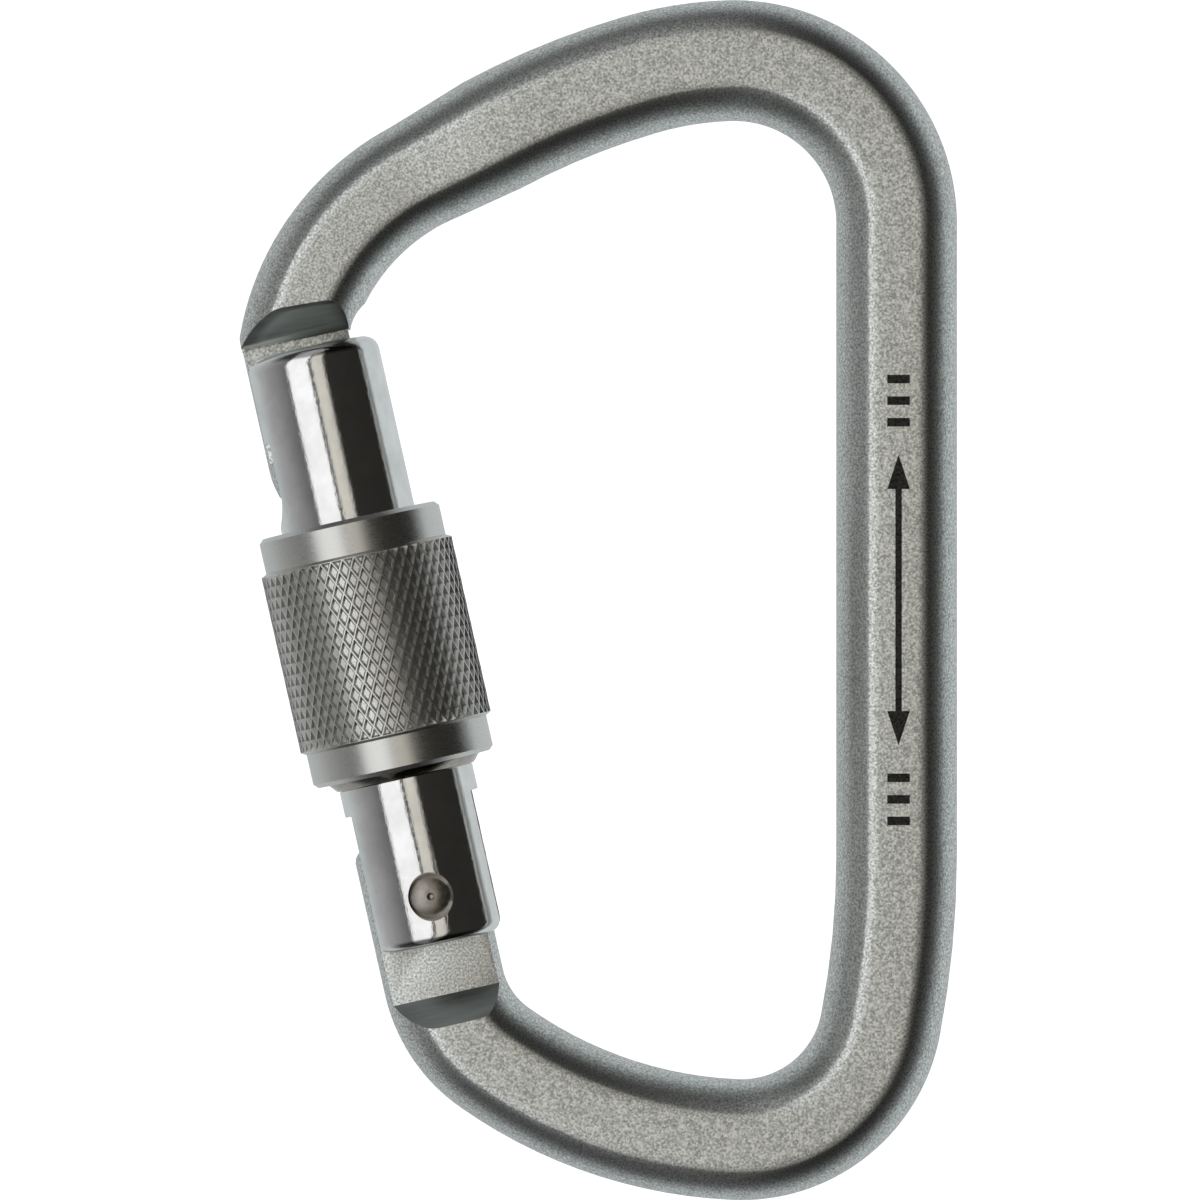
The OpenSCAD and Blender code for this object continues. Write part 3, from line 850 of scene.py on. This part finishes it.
pick(sleeve, "FACE", in_band)
bpy.ops.mesh.poke()
pick(sleeve, "EDGE", grid_edge)
bpy.ops.mesh.dissolve_edges(use_verts=False)
bpy.ops.object.mode_set(mode="OBJECT")
pick(sleeve, "FACE", in_band)
bpy.ops.mesh.inset(thickness=rib_half, depth=0, use_individual=True)
bpy.ops.mesh.inset(thickness=pit_slope, depth=-pit_depth, use_individual=True)
bpy.ops.mesh.select_all(action="DESELECT")
bpy.ops.object.mode_set(mode="OBJECT")
dress(sleeve, satin, knurled)
for face in sleeve.data.polygons:
    outer = math.hypot(face.center.x, face.center.y) > rim_r + hair
    face.material_index = int(outer)
female_turns = (sleeve_top - sleeve_base - ring_groove[1] - 2 * ridge_root_w) / pitch
female = coil("female_thread", female_turns, female_turns * pitch,
              sleeve_base + ring_groove[1] + ridge_root_w,
              ridge=(root_r + thread_gap, sleeve_bore_r + thread_root_in, crest_w,
                     ridge_root_w + thread_root_in))
start_angle = (sleeve_base + ring_groove[1] + ridge_root_w - thread_bottom - ridge_root_w
               - pitch / 2) / pitch * math.tau
female.rotation_euler = (0, 0, start_angle)
dress(female, satin)
machine(sleeve, female, "UNION")
tell(hang(sleeve))

# %% [markdown]
# ## What holds the sleeve and the gate
# A split ring snaps into the sleeve's groove and slides on the tube down to its full-width
# band, and the hinge rivet is headed into shallow sinks. Both are turned pieces, so each is
# a profile with its edges rounded, and only the ring's slit needs a cutter.

# %% Retaining ring with its glossy cone and slit
ring_in_r = track_r + 0.1
ring_neck_r = sleeve_bore_r - 0.1
ring_cone = 0.8
ring_foot_r = ring_neck_r - 0.85 * ring_cone
flange_h = 0.8
flange_low = ring_top - flange_h
slit_half = 0.6
retaining_ring = turned("retaining_ring_piece", [
    (ring_in_r, ring_base), (ring_foot_r, ring_base),
    (ring_neck_r, ring_base + ring_cone), (ring_neck_r, flange_low),
    (ring_r, flange_low), (ring_r, ring_top), (ring_in_r, ring_top), (ring_in_r, ring_base),
])
soften(retaining_ring, ring_foot_r, ring_base, 0.2, 3)
soften(retaining_ring, ring_neck_r, ring_base + ring_cone, 0.15, 3)
slit = plate("slit", [
    (-slit_half, ring_base - 1), (slit_half, ring_base - 1), (slit_half, ring_top + 1),
    (-slit_half, ring_top + 1),
], bar_r * 2)
slit.location = (0, bar_r, 0)
machine(retaining_ring, slit)
dress(retaining_ring, oiled)
tell(hang(retaining_ring))

# %% Hinge rivet with domed, dimpled heads
rivet_half = tube_r - 0.1
dome = 0.6
dome_r = (rivet_r ** 2 + dome ** 2) / (2 * dome)
dome_angle = math.asin(rivet_r / dome_r)
arc = [(dome_r * math.sin(a), rivet_half - dome_r * (1 - math.cos(a)))
       for a in (dome_angle * (8 - k) / 8 for k in range(7))]
dimple = [(0.36, rivet_half - 0.03), (0.24, rivet_half - 0.12), (0.1, rivet_half - 0.17)]
half_profile = arc + dimple
rivet = turned("rivet", [(r, -h) for r, h in reversed(half_profile)] + half_profile, 64)
rivet.rotation_euler = (math.pi / 2, 0, 0)
dress(rivet, dark)
start_clean()
rivet.select_set(True)
bpy.context.view_layer.objects.active = rivet
bpy.ops.object.transform_apply(rotation=True)
tell(hang(rivet))

# %% [markdown]
# ## What closes the gate
# Inside the bore a spring pushes a plunger onto the cam on the tang. Nobody sees them
# until the gate opens, but they are modelled as they are, because the slots show them then.

# %% Plunger
plunger_low, plunger_tip, plunger_r = reach("spring_plunger")
spring_low, spring_high, spring_r = reach("gate_spring")
wire_r = 0.35
spigot_r = spring_r - 2 * wire_r - 0.25
seat = spring_low - 0.05
plunger = turned("plunger_piece", [
    (plunger_r - 0.3, plunger_low), (plunger_r, plunger_low + 0.3), (plunger_r, seat),
    (spigot_r, seat), (spigot_r, plunger_tip - 0.3), (spigot_r - 0.3, plunger_tip),
], 64)
dress(plunger, dark)
tell(hang(plunger))

# %% Spring
spring_turns = 9
spring_rise = spring_high - spring_low - 2 * wire_r
spring = coil("spring", spring_turns, spring_rise, spring_low + wire_r,
              round_wire=(wire_r, spring_r - wire_r))
dress(spring, wire)
tell(hang(spring))

# %% [markdown]
# ## A load mark on the spine
# The spine carries a dark etched marking. A plain double arrow with gauge bars stands for the
# maker's marking here: it says along which line the load should hang, as such signs do. Each
# mark is a film a few hundredths of a millimetre thick, set into the flat.

# %% Draw the arrow and its bars, and join them
mark_y = -flat_y - 0.012
film = 0.05
head_half = 1.05
head_run = 3.2
shaft_half = 0.3
bar_half = 0.4
bar_step = 2
spine_x = spine_top.x
mark_middle = 0.0
mark_half = 20.5
arrow_half = 13.5
marks = []
arrow_outline = []
for sense in (1, -1):
    tip = mark_middle + sense * arrow_half
    arrow_outline += [
        (spine_x + sense * shaft_half, tip - sense * head_run),
        (spine_x + sense * head_half, tip - sense * head_run),
        (spine_x, tip), (spine_x - sense * head_half, tip - sense * head_run),
        (spine_x - sense * shaft_half, tip - sense * head_run),
    ]
marks.append(plate("load_mark", arrow_outline, film))
for sense in (1, -1):
    for k in range(3):
        height = mark_middle + sense * (mark_half - bar_step * k)
        marks.append(plate("gauge_bar", [
            (spine_x - head_half, height - bar_half), (spine_x + head_half, height - bar_half),
            (spine_x + head_half, height + bar_half), (spine_x - head_half, height + bar_half),
        ], film))
start_clean()
for mark in marks:
    mark.location = (0, mark_y + film / 2, 0)
    mark.select_set(True)
bpy.context.view_layer.objects.active = marks[0]
bpy.ops.object.transform_apply(location=True)
bpy.ops.object.join()
load_mark = bpy.context.object
dress(load_mark, etched)
tell(load_mark)

# %% [markdown]
# ## Into the frame
# Each piece takes the place of its design solid and rides on that solid's body, so the gate
# swings, the ring climbs and the sleeve turns. The spring rides on the gate.

# %% Finish the pieces and hand them over
bar_break = 0.15
break_edges(bar, bar_break)
tell(bar)
for piece, node, body, finish, crease in (
    (bar, "frame", "frame", "blasted_steel", 30),
    (gate_tube, "gate_tube", "gate", "polished_steel", 35),
    (rivet, "hinge_rivet", "gate", "dark_steel", 30),
    (plunger, "spring_plunger", "plunger", "dark_steel", 30),
    (spring, "gate_spring", "gate", "spring_wire", 60),
    (retaining_ring, "retaining_ring", "ring", "dark_steel", 30),
    (sleeve, "screw_sleeve", "sleeve", "satin_steel", 20),
):
    to_metres(piece)
    smooth(piece, crease)
    piece.name = node + "_steel"
    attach(piece, body)
    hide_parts(node)
to_metres(load_mark)
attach(load_mark, "frame")
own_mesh(spring)

# %% [markdown]
# ## Studio
# A long lens looks straight at the flat of the bar, so that the outline stays as true as a
# drawing. Polished steel shows its surroundings and nothing else, so the light is a tent: a
# bright panel just left of the camera, a dark gap to its right, and pale walls behind.

# %% Camera
camera_data = bpy.data.cameras.new("camera")
camera_data.lens = 250
camera_data.sensor_width = 36
view_half = 56.045
distance = view_half / (camera_data.sensor_width / 2 / camera_data.lens)
camera = bpy.data.objects.new("camera", camera_data)
camera.location = (0, -distance / metre, 0)
camera.rotation_euler = (math.pi / 2, 0, 0)
camera_data.clip_start, camera_data.clip_end = 0.05, 20
bpy.context.scene.collection.objects.link(camera)
bpy.context.scene.camera = camera
print("camera stands", round(distance), "mm away")

# %% Pale floor that rises into a backdrop
start_clean()
bpy.ops.mesh.primitive_plane_add(size=5, location=(0, 0, -0.16))
floor = named("floor")
pick(floor, "VERT", lambda place: place.y > 2)
bpy.ops.mesh.extrude_region_move(TRANSFORM_OT_translate={"value": (0, 0, 2.5)})
pick(floor, "EDGE", lambda a, b: min(a.y, b.y) > 2 and max(a.z, b.z) < 0)
bpy.ops.mesh.bevel(offset=1.0, segments=16, affect="EDGES")
bpy.ops.object.mode_set(mode="OBJECT")
pale = bpy.data.materials.new("pale_floor")
pale.use_nodes = True
paint = pale.node_tree.nodes["Principled BSDF"]
paint.inputs["Base Color"].default_value = (0.9, 0.9, 0.9, 1)
paint.inputs["Roughness"].default_value = 0.9
paint.inputs["Emission Color"].default_value = (1, 1, 1, 1)
paint.inputs["Emission Strength"].default_value = 0.8
dress(floor, pale)
floor.visible_glossy = False
smooth(floor)

# %% Light tent
world = bpy.data.worlds.new("light_tent")
world.use_nodes = True
bpy.context.scene.world = world
nodes, link = world.node_tree.nodes, world.node_tree.links.new
direction = nodes.new("ShaderNodeTexCoord")
split = nodes.new("ShaderNodeSeparateXYZ")
link(direction.outputs["Generated"], split.inputs["Vector"])
turned_away = nodes.new("ShaderNodeMath")
turned_away.operation = "MULTIPLY"
turned_away.inputs[1].default_value = -1
link(split.outputs["Y"], turned_away.inputs[0])
azimuth = nodes.new("ShaderNodeMath")
azimuth.operation = "ARCTAN2"
link(split.outputs["X"], azimuth.inputs[0])
link(turned_away.outputs["Value"], azimuth.inputs[1])
around = nodes.new("ShaderNodeMapRange")
around.inputs["From Min"].default_value = -math.pi
around.inputs["From Max"].default_value = math.pi
link(azimuth.outputs["Value"], around.inputs["Value"])
tent = nodes.new("ShaderNodeValToRGB")
link(around.outputs["Result"], tent.inputs["Fac"])
white, cream, cool = (1, 1, 1), (1, 0.95, 0.86), (0.95, 1, 1.02)
panels = [
    (-180, 0.66, cool), (-125, 0.6, cool), (-100, 0.42, white), (-48, 0.15, white),
    (-44, 1.15, white), (-10, 1.2, white), (-8.5, 0.08, white), (-5, 0.08, white),
    (-3, 0.8, cream), (13, 0.7, cream), (18, 0.03, cream), (92, 0.025, cream),
    (100, 0.72, cool), (180, 0.66, cool),
]
stops = tent.color_ramp.elements
while len(stops) < len(panels):
    stops.new(0.5)
for stop, (degrees, brightness, tint) in zip(stops, panels):
    stop.position = (degrees + 180) / 360
    stop.color = (*(brightness * n for n in tint), 1)
# The tent darkens towards its roof and its foot, and more so in front than behind.
slant = nodes.new("ShaderNodeMath")
slant.operation = "ABSOLUTE"
link(split.outputs["Z"], slant.inputs[0])
behind = nodes.new("ShaderNodeMapRange")
behind.inputs["From Min"].default_value = -0.1
behind.inputs["From Max"].default_value = 0.5
behind.inputs["To Min"].default_value = 1
behind.inputs["To Max"].default_value = 0.5
link(split.outputs["Y"], behind.inputs["Value"])
lofty = nodes.new("ShaderNodeMath")
lofty.operation = "MULTIPLY"
link(slant.outputs["Value"], lofty.inputs[0])
link(behind.outputs["Result"], lofty.inputs[1])
roof = nodes.new("ShaderNodeValToRGB")
link(lofty.outputs["Value"], roof.inputs["Fac"])
roof.color_ramp.elements[0].position = 0.42
roof.color_ramp.elements[0].color = (1, 1, 1, 1)
roof.color_ramp.elements[1].position = 0.72
roof.color_ramp.elements[1].color = (0.14, 0.14, 0.14, 1)
shade = nodes.new("ShaderNodeMix")
shade.data_type = "RGBA"
shade.blend_type = "MULTIPLY"
shade.inputs["Factor"].default_value = 1
link(tent.outputs["Color"], shade.inputs["A"])
link(roof.outputs["Color"], shade.inputs["B"])
seen = nodes.new("ShaderNodeLightPath")
mix = nodes.new("ShaderNodeMix")
mix.data_type = "RGBA"
link(seen.outputs["Is Camera Ray"], mix.inputs["Factor"])
link(shade.outputs["Result"], mix.inputs["A"])
mix.inputs["B"].default_value = (1, 1, 1, 1)
background = nodes["Background"]
link(mix.outputs["Result"], background.inputs["Color"])
background.inputs["Strength"].default_value = 1.0


# %% Soft lights
def soft_light(name, place, width, height, power):
    """A soft box that faces the object."""
    light = bpy.data.lights.new(name, "AREA")
    light.shape = "RECTANGLE"
    light.size, light.size_y, light.energy = width, height, power
    lamp = bpy.data.objects.new(name, light)
    lamp.location = place
    lamp.rotation_euler = (-Vector(place)).to_track_quat("-Z", "Y").to_euler()
    bpy.context.scene.collection.objects.link(lamp)


soft_light("overhead", (-0.4, -0.8, 1.6), 1.2, 1.2, 1)
bpy.context.scene.view_settings.view_transform = "Standard"
